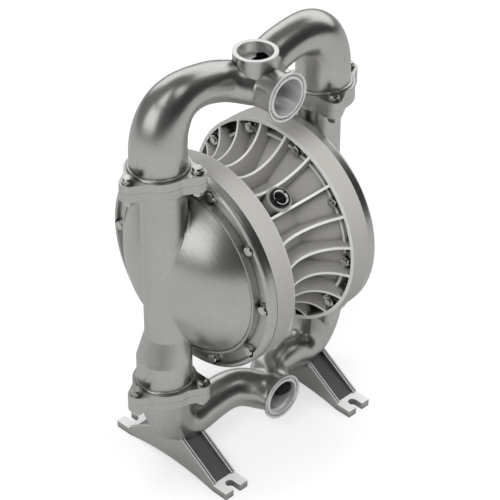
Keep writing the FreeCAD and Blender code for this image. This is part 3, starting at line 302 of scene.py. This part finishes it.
def cast_stainless():
    """Satin casting; the walls and rims of its bored ports are smoother and carry painted light."""
    finish, colour, rough, normal = sand_cast("cast_stainless_satin")
    bored = inside_port(finish, DISCHARGE_PORT, Y_AXIS, FRONT_BORE_RADIUS, FRONT_BORE_DEPTH)
    bored = bored + inside_port(finish, INLET_PORT, Y_AXIS, FRONT_BORE_RADIUS, FRONT_BORE_DEPTH)
    top_bored = inside_port(finish, TOP_PORT, DOWNWARDS, TOP_BORE_RADIUS, TOP_BORE_DEPTH)
    bored = finish.clamp(bored + top_bored * 0.5)
    # Painted light: the bored walls and rims of the ports are painted lighter, the top port half as
    # much.
    colour = finish.mix(bored, colour, (0.88, 0.88, 0.87))
    return finish.close(colour, rough - 0.06 * bored, normal, 1 - 0.45 * bored)


def foot_casting():
    """Casting of the feet: a painted reflection on the machined pads, a painted highlight on the wall
    tops, and dark channel floors.
    """
    finish, colour, rough, normal = sand_cast("foot_casting_satin")
    facing_up = finish.field("ShaderNodeNewGeometry", "True Normal")
    facing_up = finish.vector("DOT_PRODUCT", facing_up, Z_AXIS)
    upper_side = finish.over(facing_up, 0.4, 0.2)
    # Painted reflection: the machined pad tops are painted near white, standing in for the bright sky
    # they reflect.
    pad = finish.over(facing_up, 0.96, 0.03)
    pad = pad * finish.over(finish.from_middle(Y_AXIS), PAD_START, 1 * MM)
    pad = pad * finish.under(finish.along(Z_AXIS), PAD_TOP + 0.4 * MM, 0.5 * MM)
    from_channel = finish.maths("ABSOLUTE", finish.from_middle(X_AXIS) - FOOT_X)
    channel = finish.under(from_channel, CHANNEL_HALF - 0.5 * MM, 0.5 * MM)
    channel = channel * upper_side * (1 - pad)
    # Painted highlight: the upward-facing tops of the walls beside the channels are painted lighter.
    wall_top = upper_side * (1 - pad) * finish.over(from_channel, CHANNEL_HALF, 0.4 * MM)
    # Painted shade: a dark line along the groove in each wall top.
    groove = finish.maths("ABSOLUTE", from_channel - CHANNEL_HALF - WALL_GROOVE)
    groove = finish.under(groove, 0.6 * MM, 0.4 * MM) * wall_top
    colour = finish.mix(wall_top * 0.7, colour, (0.95, 0.95, 0.94))
    colour = finish.mix(groove, colour, (0.03, 0.03, 0.03))
    colour = finish.mix(channel, colour, (0.13, 0.13, 0.13))
    colour = finish.mix(pad, colour, (0.97, 0.97, 0.96))
    metallic = finish.clamp(1 - pad - 0.6 * channel - 0.5 * wall_top)
    return finish.close(colour, rough, normal, metallic)


def turned_stainless():
    """Fine turned rims and shafts: bright, with faint tool lines."""
    finish = Finish("turned_stainless_bright")
    soft, edge = finish.rounded(0.5 * MM)
    # Painted shade in creases, from occlusion.
    painted_crease_shade = finish.spread(finish.crease(6 * MM), 0.2, 0.8, 0.6, 0)
    streak = finish.noise(420, 3, 0.6, (0.25, 1, 1))
    colour = finish.mix(streak, (0.55, 0.55, 0.54), (0.68, 0.68, 0.665))
    # Painted highlight along the edges.
    colour = finish.painted_edge_highlight(colour, edge, (0.86, 0.86, 0.85), 0.6)
    colour = finish.mix(painted_crease_shade, colour, (0.1, 0.1, 0.1))
    return finish.close(colour, 0.16 + 0.1 * streak, finish.bump(streak, 0.02 * MM, soft, 0.3), 1)


def screw_steel():
    """Bright screws, nuts and washers with small knocks."""
    finish = Finish("screw_steel_polished")
    soft, edge = finish.rounded(0.45 * MM)
    # Painted shade in creases, from occlusion.
    painted_crease_shade = finish.spread(finish.crease(5 * MM), 0.25, 0.85, 0.8, 0)
    knocks = finish.noise(700, 3, 0.6)
    colour = finish.mix(knocks, (0.70, 0.69, 0.66), (0.86, 0.85, 0.82))
    colour = finish.mix(painted_crease_shade, colour, (0.03, 0.028, 0.025))
    # Painted highlight along the edges.
    colour = finish.painted_edge_highlight(colour, edge, (0.97, 0.96, 0.94), 0.85, full=0.25)
    return finish.close(colour, 0.14 + 0.12 * knocks, finish.bump(knocks, 0.03 * MM, soft, 0.3), 1)


def white_moulding():
    """Warm white moulded plastic: painted highlights on the edges of the fins, rings and strips, painted
    shade in the deep pockets.
    """
    finish = Finish("white_moulding_satin")
    soft, edge = finish.rounded(0.9 * MM)
    open_air = finish.crease(10 * MM)
    clouds = finish.noise(11, 3)
    skin = finish.noise(900, 2, 0.6)
    across = finish.from_middle(X_AXIS)
    from_shaft = finish.from_line(SHAFT_CENTRE, X_AXIS)
    plug_boss = finish.from_line(SHAFT_CENTRE, PLUG_AXIS)
    plug_boss = finish.under(plug_boss, BOSS_RADIUS - 0.1 * MM, 0.4 * MM)
    plug_boss = plug_boss * finish.over(finish.along_line(SHAFT_CENTRE, PLUG_AXIS), 0, 10 * MM)
    arc = finish.maths("SQRT", FIN_EDGE_ARC ** 2 - across * across)
    from_hollow = from_shaft - (FIN_WAIST_RADIUS + FIN_EDGE_ARC - arc)
    fin_edge = finish.over(from_hollow, -1.2 * MM, 0.7 * MM) * (1 - plug_boss)
    fin_edge = fin_edge * finish.under(across, RING_INNER_X - 1 * MM, 1 * MM)
    strip_top = finish.within(across, STRIP_CREST_X - 0.6 * MM, STRIP_CREST_X + 0.6 * MM, 0.3 * MM)
    strip_top = strip_top * finish.within(
        from_shaft, STRIP_RADIUS - 0.4 * MM, STRIP_OUTSIDE + 0.4 * MM, 0.3 * MM,
    )
    ring_end = finish.within(across, RING_INNER_X - 0.8 * MM, RING_INNER_X + 0.8 * MM, 0.5 * MM)
    ring_end = ring_end * finish.over(from_shaft, OUTSIDE_POCKETS, 2 * MM)
    outer = finish.over(from_shaft, OUTSIDE_CELLS, 2 * MM)
    # Painted highlight: the fin edges, ring ends and strip tops are painted near white, and so are the
    # outer edges.
    painted_edge_sheen = finish.spread(edge, 0.02, 0.3, 0, 0.7) * outer
    painted_highlight = finish.clamp(fin_edge + ring_end + strip_top * 0.85 + painted_edge_sheen)
    # Painted shade: the deep pockets, and the slots through occlusion, are painted dark; the plug's boss
    # is a little darker.
    pocket = finish.spread(across, STRIP_CREST_X + 1 * MM, STRIP_CREST_X + 4 * MM, 0, 0.85)
    pocket = pocket * finish.within(
        from_shaft, STRIP_OUTSIDE + 0.1 * MM, RING_INNER_RADIUS + 0.2 * MM, 0.4 * MM,
    )
    slots = finish.spread(open_air, 0.15, 0.75, 0.85, 0)
    slots = slots + finish.spread(open_air, 0.45, 0.95, 0.8, 0) * outer
    dark = finish.clamp(slots + pocket + plug_boss * 0.12)
    colour = finish.mix(clouds, (0.46, 0.45, 0.422), (0.50, 0.489, 0.46))
    colour = finish.mix(dark, colour, (0.05, 0.049, 0.046))
    colour = finish.mix(painted_highlight, colour, (0.95, 0.94, 0.905))
    return finish.close(colour, 0.40 + 0.1 * skin, finish.bump(skin, 0.03 * MM, soft, 0.25))


def black_moulding():
    """Glossy black moulded plastic, with a painted highlight round the edge of the plug's recess."""
    finish = Finish("black_moulding_gloss")
    soft, edge = finish.rounded(0.4 * MM)
    skin = finish.noise(500, 2)
    from_axis = finish.from_line(SHAFT_CENTRE, PLUG_AXIS)
    # Painted highlight: a broken near-white ring round the recess.
    painted_recess_glint = finish.within(from_axis, PLUG_RECESS - 0.9 * MM, PLUG_RECESS + 0.8 * MM, 0.3 * MM)
    painted_recess_glint = painted_recess_glint * finish.over(finish.noise(110, 2), 0.44, 0.08)
    # Painted highlight along the edges.
    painted_edge_sheen = finish.spread(edge, 0.05, 0.3, 0, 0.5)
    colour = finish.mix(painted_edge_sheen, (0.006, 0.006, 0.007), (0.4, 0.4, 0.4))
    colour = finish.mix(painted_recess_glint, colour, (0.9, 0.9, 0.9))
    return finish.close(colour, 0.10 + 0.08 * skin, finish.bump(skin, 0.02 * MM, soft, 0.3))


def plate_aluminium():
    """Machined aluminium plates inside the chambers."""
    finish = Finish("plate_aluminium_machined")
    soft, edge = finish.rounded(0.5 * MM)
    streak = finish.noise(260, 3, 0.6, (1, 0.2, 1))
    colour = finish.mix(streak, (0.66, 0.67, 0.68), (0.78, 0.785, 0.79))
    # Painted highlight along the edges.
    colour = finish.painted_edge_highlight(colour, edge, (0.9, 0.9, 0.91), 0.5)
    return finish.close(colour, 0.25 + 0.15 * streak, finish.bump(streak, 0.03 * MM, soft, 0.3), 1)


def bearing_bronze():
    """Bronze bushes with darker patches of wear."""
    finish = Finish("bearing_bronze_oiled")
    soft, edge = finish.rounded(0.4 * MM)
    patch = finish.noise(90, 4, 0.6)
    colour = finish.mix(patch, (0.42, 0.24, 0.10), (0.66, 0.42, 0.19))
    # Painted highlight along the edges.
    colour = finish.painted_edge_highlight(colour, edge, (0.85, 0.62, 0.32), 0.5)
    return finish.close(colour, 0.25 + 0.15 * patch, finish.bump(patch, 0.03 * MM, soft, 0.3), 1)


def rubber(name, dark, light, depth):
    """Moulded rubber with a dusty bloom and a fine grain."""
    finish = Finish(name)
    bloom = finish.spread(finish.noise(45, 4, 0.6), 0.35, 0.7, 0, 1)
    grain = finish.noise(1300, 2, 0.6)
    colour = finish.mix(bloom, dark, light)
    return finish.close(colour, 0.55 + 0.2 * grain, finish.bump(grain, depth, None, 0.4))


def ball_ptfe():
    """Milky white check balls."""
    finish = Finish("ball_ptfe_milky")
    skin = finish.noise(800, 2)
    colour = finish.mix(finish.noise(60, 3), (0.62, 0.62, 0.605), (0.70, 0.70, 0.69))
    return finish.close(colour, 0.25 + 0.1 * skin, finish.bump(skin, 0.02 * MM, None, 0.3))


finishes = {
    "cast_stainless": cast_stainless(),
    "foot_casting": foot_casting(),
    "turned_stainless": turned_stainless(),
    "screw_steel": screw_steel(),
    "white_moulding": white_moulding(),
    "black_moulding": black_moulding(),
    "plate_aluminium": plate_aluminium(),
    "bearing_bronze": bearing_bronze(),
    "diaphragm_rubber": rubber(
        "diaphragm_rubber_black", (0.02, 0.02, 0.021), (0.05, 0.05, 0.05), 0.06 * MM,
    ),
    "seal_rubber": rubber("seal_rubber_dark", (0.03, 0.03, 0.032), (0.07, 0.07, 0.07), 0.03 * MM),
    "ball_ptfe": ball_ptfe(),
}
slot_of = {row["node"]: row["material_slot"] for row in frame["record"]["subparts"]}
for node_name, node in nodes.items():
    is_foot = node_name.startswith("foot_")
    for place in node.material_slots:
        place.material = finishes["foot_casting" if is_foot else slot_of[node_name]]


def new_piece(name, mesh, slot_name):
    """A piece of its own, in the finish of one of the record's slots."""
    piece = bpy.data.objects.new(name, mesh)
    scene.collection.objects.link(piece)
    mesh.materials.clear()
    mesh.materials.append(finishes[slot_name])
    return piece


# Castings: the frame's shapes with the fillets that a casting has

GRID_DEPTH = 8
GRID_SCALE = 0.99
WELD_REACH = 0.01 * MM
CREASE_ANGLE = math.radians(34)
FILL_STEP = 0.8
ROUNDS_PER_NORMAL = 4
SMOOTHING_STEPS = (0.5, -0.52) * 3
CRISP_RAMP = 6 * MM
DOME_REACH = 100 * MM
NECK_HEIGHT = AXIS_HEIGHT - 80 * MM
NECK_REACH = 40 * MM
COLUMN_REACH = 44 * MM
COLUMN_INSIDE = 27 * MM
BEYOND_FLANGE = 104 * MM
CHAMBER_COLLAR = 14 * MM
MANIFOLD_COLLAR = 17 * MM
FERRULE_DEPTH = 14 * MM
TOP_PORT_REACH = 31 * MM
BALL_LIFT = 11 * MM
BALL_GAP = 0.2 * MM


def remeshed(node_name):
    """A closed copy of a node in even squares, which keeps its edges."""
    rough = bpy.data.objects.new("rough_copy", nodes[node_name].data.copy())
    scene.collection.objects.link(rough)
    rough.modifiers.new("weld", "WELD").merge_threshold = WELD_REACH
    remesh = rough.modifiers.new("remesh", "REMESH")
    remesh.mode = "SHARP"
    remesh.octree_depth = GRID_DEPTH
    remesh.scale = GRID_SCALE
    remesh.use_remove_disconnected = False
    ready = rough.evaluated_get(bpy.context.evaluated_depsgraph_get())
    mesh = bpy.data.meshes.new_from_object(ready)
    bpy.data.objects.remove(rough)
    return mesh


def read_points(mesh):
    flat = np.empty(len(mesh.vertices) * 3)
    mesh.vertices.foreach_get("co", flat)
    return flat.reshape(-1, 3)


def write_points(mesh, points):
    mesh.vertices.foreach_set("co", points.astype(np.float32).ravel())
    mesh.update()


def read_normals(mesh):
    flat = np.empty(len(mesh.vertices) * 3)
    mesh.vertex_normals.foreach_get("vector", flat)
    return flat.reshape(-1, 3)


def edge_ends(mesh):
    flat = np.empty(len(mesh.edges) * 2, np.int32)
    mesh.edges.foreach_get("vertices", flat)
    return flat.reshape(-1, 2)


def pull_to_neighbours(points, ends, count):
    """From each point to the middle of its neighbours."""
    middle = np.empty_like(points)
    for axis in range(3):
        middle[:, axis] = (
            np.bincount(ends[:, 0], points[ends[:, 1], axis], len(points))
            + np.bincount(ends[:, 1], points[ends[:, 0], axis], len(points))
        )
    return middle / count[:, None] - points


def fillet(mesh, weight, rounds):
    """Fill the hollows of a skin where the weight says, as the radii of a casting do."""
    points = read_points(mesh)
    ends = edge_ends(mesh)
    count = np.maximum(np.bincount(ends.ravel(), minlength=len(points)), 1)
    strength = weight(points)
    for turn in range(rounds):
        if turn % ROUNDS_PER_NORMAL == 0:
            write_points(mesh, points)
            normals = read_normals(mesh)
        rise = (pull_to_neighbours(points, ends, count) * normals).sum(1)
        points += (FILL_STEP * strength * np.maximum(rise, 0))[:, None] * normals
    for step in SMOOTHING_STEPS:
        points += step * strength[:, None] * pull_to_neighbours(points, ends, count)
    write_points(mesh, points)
    mesh.shade_smooth()
    mesh.set_sharp_from_angle(angle=CREASE_ANGLE)


def beyond(distance, reach):
    """Nought within a reach, and one from a ramp's length beyond it."""
    return np.clip((distance - reach) / CRISP_RAMP, 0, 1)


def off_the_collars(points, reach):
    """Nought on the collars at both joints, and one away from them."""
    from_upper = np.abs(points[:, 2] - UPPER_JOINT)
    from_lower = np.abs(points[:, 2] - LOWER_JOINT)
    return beyond(from_upper, reach) * beyond(from_lower, reach)


def chamber_weight(points):
    """Fill the crease between the flow column and the dome, and leave every turned edge."""
    across = np.abs(points[:, 0])
    from_axis = np.hypot(points[:, 1], points[:, 2] - AXIS_HEIGHT)
    from_column = np.hypot(across - COLUMN_X, points[:, 1])
    on_dome = 1 - beyond(from_axis, DOME_REACH)
    on_neck = 1 - beyond(np.abs(points[:, 2] - NECK_HEIGHT), NECK_REACH)
    near_column = 1 - beyond(from_column, COLUMN_REACH)
    outside = (from_column > COLUMN_INSIDE) & (across > BEYOND_FLANGE)
    return np.maximum(on_dome, on_neck) * near_column * outside * off_the_collars(points, CHAMBER_COLLAR)


def manifold_weight(points):
    """Fill the hollows between the arms, and leave the collars and ports crisp."""
    weight = off_the_collars(points, MANIFOLD_COLLAR)
    for port in (DISCHARGE_PORT, INLET_PORT):
        weight *= beyond(np.abs(points[:, 1] - port[1]), FERRULE_DEPTH)
    from_top_port = np.hypot(points[:, 0] - TOP_PORT[0], points[:, 1] - TOP_PORT[1])
    upper = points[:, 2] > DISCHARGE_PORT[2]
    return weight * np.where(upper, beyond(from_top_port, TOP_PORT_REACH), 1)


def clear_the_balls(mesh):
    """Push a skin's inner wall back from the check balls, over the whole of their lift."""
    points = read_points(mesh)
    for node_name, node in nodes.items():
        if not node_name.startswith("check_ball"):
            continue
        ball = read_points(node.data)
        low, high = ball.min(0), ball.max(0)
        reach = (high[0] - low[0]) / 2 + BALL_GAP
        offset = points - (low + high) / 2
        offset[:, 2] -= np.clip(offset[:, 2], 0, BALL_LIFT)
        distance = np.linalg.norm(offset, axis=1)
        inside = distance < reach
        points[inside] += offset[inside] * (reach / distance[inside] - 1)[:, None]
    write_points(mesh, points)


castings = {
    "liquid_chamber_left": (chamber_weight, 6),
    "liquid_chamber_right": (chamber_weight, 6),
    "discharge_manifold": (manifold_weight, 16),
    "inlet_manifold": (manifold_weight, 16),
}
for node_name, (weight, rounds) in castings.items():
    skin = remeshed(node_name)
    fillet(skin, weight, rounds)
    clear_the_balls(skin)
    casting = new_piece(node_name + "_casting", skin, "cast_stainless")
    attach(casting, "pump")
    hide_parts(node_name)


# Diaphragms: twelve rubber sectors each, between the clamped rim and the plates

SECTORS = 12
LONGEST_EDGE = 6 * MM
SHORTEST_EDGE = 0.02 * MM
SAME_POINT = 0.001 * MM


def sector_mesh(source, index):
    """The part of a diaphragm between two planes through the shaft."""
    made = bmesh.new()
    made.from_mesh(source)
    bmesh.ops.remove_doubles(made, verts=made.verts, dist=SAME_POINT)
    step = 2 * math.pi / SECTORS
    for sign, angle in ((-1, index * step), (1, (index + 1) * step)):
        normal = Vector((0, -math.sin(angle), math.cos(angle))) * sign
        found = made.verts[:] + made.edges[:] + made.faces[:]
        cut = bmesh.ops.bisect_plane(
            made, geom=found, plane_co=SHAFT_CENTRE, plane_no=normal, clear_outer=True,
        )
        rim = [part for part in cut["geom_cut"] if isinstance(part, bmesh.types.BMEdge)]
        bmesh.ops.holes_fill(made, edges=rim)
    for turn in range(2):
        long_edges = [edge for edge in made.edges if edge.calc_length() > LONGEST_EDGE]
        bmesh.ops.subdivide_edges(made, edges=long_edges, cuts=1)
    bmesh.ops.triangulate(made, faces=made.faces)
    bmesh.ops.dissolve_degenerate(made, dist=SHORTEST_EDGE, edges=made.edges)
    mesh = bpy.data.meshes.new("diaphragm_sector")
    made.to_mesh(mesh)
    made.free()
    return mesh


for side in ("left", "right"):
    diaphragm = nodes["diaphragm_" + side]
    for index in range(SECTORS):
        sector = sector_mesh(diaphragm.data, index)
        piece = new_piece(f"diaphragm_{side}_{index + 1}", sector, "diaphragm_rubber")
        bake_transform(piece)
        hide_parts("diaphragm_" + side)


# Floor, light and camera

TARGET = Vector((-0.0015, -0.0134, 0.2851))
CAMERA_PLACE = (-1.4946, -1.5065, 1.7781)
CAMERA_SENSOR = 36
CAMERA_LENS = 144.9
CAMERA_REACH = 100
FLOOR_HALF = 15
FLOOR_GAP = 0.1 * MM
FLOOR_GLOW = 0.62
FLOOR_SHINE = 0.06
TENT_RADIUS = 6
TENT_STEP = 4
TENT_FRONT = (0.35, -0.8, -0.35)
# Openings of the tent: azimuth from and to, elevation from and to, in degrees
TENT_WINDOWS = (
    (-20, 88, 12, 52),
    (148, 200, 12, 44),
    (160, 208, 52, 84),
    (264, 308, 56, 76),
)
# Area lamps: name, place, width, depth and power
LAMPS = (
    ("key_softbox", (-4.8, -2.6, 5.7), 3.1, 3.1, 217),
    ("fill_softbox", (3.5, -5.7, 3.3), 3.5, 3.5, 112),
    ("top_softbox", (0.4, 0.8, 7.0), 4.0, 2.2, 168),
)
PLAIN_LIGHT = 0.45
WHITE_LIGHT = 1


def stage_piece(name, corners, faces, material):
    """A sheet that belongs to the studio and isn't part of the pump."""
    mesh = bpy.data.meshes.new(name)
    mesh.from_pydata(corners, [], faces)
    mesh.materials.append(material)
    sheet = bpy.data.objects.new(name, mesh)
    scene.collection.objects.link(sheet)
    return sheet


def floor_paint():
    """A pale floor that shows white and keeps the pump's shadow."""
    finish = Finish("floor_pale")
    seen, glossy, through = finish.rays()
    lit = finish.clamp(seen + (glossy + through) * FLOOR_SHINE) * FLOOR_GLOW
    paint = finish.mix(finish.noise(60, 2), (0.44, 0.44, 0.44), (0.455, 0.455, 0.455))
    matt = finish.field("ShaderNodeBsdfDiffuse", "BSDF", None, {"Color": paint})
    glow = finish.glow(finish.mix(lit, (0, 0, 0), (1, 1, 1)))
    return finish.end(finish.field("ShaderNodeAddShader", "Shader", None, {0: matt, 1: glow}))


def build_floor():
    """The floor, just under the pads of the feet."""
    around = ((-1, -1), (1, -1), (1, 1), (-1, 1))
    corners = [(x * FLOOR_HALF, y * FLOOR_HALF, 0) for x, y in around]
    floor = stage_piece("floor", corners, [(0, 1, 2, 3)], floor_paint())
    floor.location.z = -FLOOR_GAP


def tent_cloth():
    """Dark cloth, darkest in front."""
    finish = Finish("tent_cloth_black")
    weave = finish.mix(finish.noise(30, 2), (0.9, 0.9, 0.9), (1, 1, 1))
    in_front = finish.vector("DOT_PRODUCT", finish.vector("NORMALIZE", finish.place), TENT_FRONT)
    shade = finish.spread(in_front, -0.9, 0.5, 0.18, 0.035)
    return finish.end(finish.glow(finish.vector("MULTIPLY", weave, shade)))


def in_window(azimuth, elevation):
    for low, high, bottom, top in TENT_WINDOWS:
        if (azimuth - low) % 360 < high - low and bottom <= elevation < top:
            return True
    return False


def tent_point(azimuth, elevation):
    around, up = math.radians(azimuth), math.radians(elevation)
    flat = math.cos(up)
    return TENT_RADIUS * Vector((flat * math.cos(around), flat * math.sin(around), math.sin(up)))


def build_tent():
    """A dark tent that only reflections see. White shows through its windows."""
    corners, faces = [], []
    for azimuth in range(0, 360, TENT_STEP):
        for elevation in range(0, 90, TENT_STEP):
            if in_window(azimuth + TENT_STEP / 2, elevation + TENT_STEP / 2):
                continue
            first = len(corners)
            far, high = azimuth + TENT_STEP, min(elevation + TENT_STEP, 90)
            for place in ((azimuth, elevation), (far, elevation), (far, high), (azimuth, high)):
                corners.append(tent_point(*place))
            faces.append(tuple(range(first, first + 4)))
    tent = stage_piece("tent", corners, faces, tent_cloth())
    tent.visible_camera = False
    tent.visible_diffuse = False
    tent.visible_shadow = False
    tent.visible_transmission = False


def aim(thing, target):
    thing.rotation_euler = (target - thing.location).to_track_quat("-Z", "Y").to_euler()


def hang_lamp(name, place, width, depth, power):
    """A soft area lamp that reflections don't see."""
    light = bpy.data.lights.new(name, "AREA")
    light.shape = "RECTANGLE"
    light.size = width
    light.size_y = depth
    light.energy = power
    lamp = bpy.data.objects.new(name, light)
    lamp.location = place
    lamp.visible_glossy = False
    aim(lamp, TARGET)
    scene.collection.objects.link(lamp)


def build_world():
    """White where the camera, gloss or glass sees it, and a plain soft light elsewhere."""
    world = bpy.data.worlds.new("studio")
    scene.world = world
    world.use_nodes = True
    sky = Shading(world.node_tree)
    seen, glossy, through = sky.rays()
    white = sky.maths("MAXIMUM", sky.maths("MAXIMUM", seen, glossy), through)
    sockets = {0: white}
    for index, strength in ((1, PLAIN_LIGHT), (2, WHITE_LIGHT)):
        light = {"Color": WHITE, "Strength": strength}
        sockets[index] = sky.field("ShaderNodeBackground", "Background", None, light)
    both = sky.field("ShaderNodeMixShader", "Shader", None, sockets)
    sky.node("ShaderNodeOutputWorld", None, {"Surface": both})


build_floor()
for lamp in LAMPS:
    hang_lamp(*lamp)
build_tent()
build_world()

camera = bpy.data.objects.new("camera", bpy.data.cameras.new("camera"))
camera.data.sensor_width = CAMERA_SENSOR
camera.data.lens = CAMERA_LENS
camera.data.clip_end = CAMERA_REACH
camera.location = CAMERA_PLACE
aim(camera, TARGET)
scene.collection.objects.link(camera)
scene.camera = camera
scene.view_settings.view_transform = "Standard"
